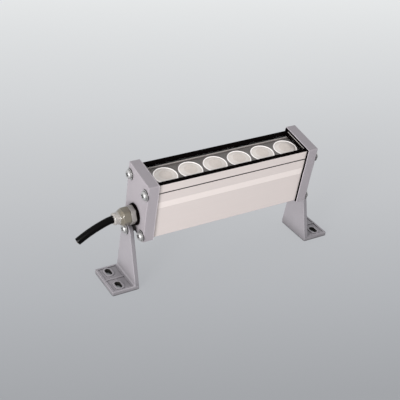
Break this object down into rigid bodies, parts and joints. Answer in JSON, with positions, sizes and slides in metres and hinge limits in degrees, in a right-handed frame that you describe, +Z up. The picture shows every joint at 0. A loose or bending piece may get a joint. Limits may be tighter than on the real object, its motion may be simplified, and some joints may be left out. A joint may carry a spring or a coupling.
{
  "type": "wall washer light",
  "caption": "Short LED wall washer bar: aluminium profile with domed lenses under glass, cast end caps, cable gland and two L brackets it tilts on.",
  "frame": {"origin": "on the mounting plane under the feet, midway between the two feet and on their centre line", "axes": "+X along the lamp from the cable end to the far end, +Z up from the mounting plane, -Y to the front, the side the lamp leans to"},
  "size_m": [0.2574, 0.0499, 0.1154],
  "materials": {
    "bracket_casting": "die-cast aluminium, satin grey powder coat",
    "cap_casting": "die-cast aluminium, satin grey powder coat",
    "profile": "satin anodised aluminium",
    "black_rubber": "matte black silicone rubber",
    "glass": "clear toughened glass",
    "lens": "clear to milky optical plastic",
    "tray": "matte grey plastic",
    "white_board": "white solder mask on an aluminium board",
    "emitter": "yellow phosphor under clear silicone",
    "pad": "soft thermal pad",
    "green_board": "green solder mask",
    "ferrite": "dark ferrite and tape",
    "capacitor": "sleeved can",
    "winding": "enamelled copper",
    "terminal": "green moulded plastic",
    "wire": "insulated wire",
    "steel": "stainless steel",
    "gland": "translucent grey nylon",
    "cable": "black rubber sheath"
  },
  "bodies": {
    "base": {"left_bracket": "bracket_casting", "right_bracket": "bracket_casting"},
    "lamp": {"housing": "profile", "front_seal": "black_rubber", "back_seal": "black_rubber", "end_seals": "black_rubber", "cover_glass": "glass", "lens_tray": "tray", "lens_1": "lens", "lens_2": "lens", "lens_3": "lens", "lens_4": "lens", "lens_5": "lens", "lens_6": "lens", "led_board": "white_board", "led_emitters": "emitter", "thermal_pad": "pad", "driver_board": "green_board", "transformer": "ferrite", "capacitors": "capacitor", "inductor": "winding", "terminal_block": "terminal", "cable_cores": "wire", "led_wires": "wire", "left_cap": "cap_casting", "right_cap": "cap_casting", "left_gasket": "black_rubber", "right_gasket": "black_rubber", "cap_screws": "steel", "cap_washers": "steel", "pivot_bolts": "steel", "pivot_washers": "steel", "pivot_spacers": "steel", "gland_oring": "black_rubber", "gland_body": "gland", "gland_nut": "gland", "gland_seal": "black_rubber", "gland_locknut": "gland", "inner_cable": "cable", "cable": "cable"}
  },
  "joints": [
    {"name": "tilt", "type": "hinge", "parent": "base", "child": "lamp", "pos_m": [0, 0, 0.0545], "axis": [1, 0, 0], "range_deg": [-45, 25]}
  ]
}
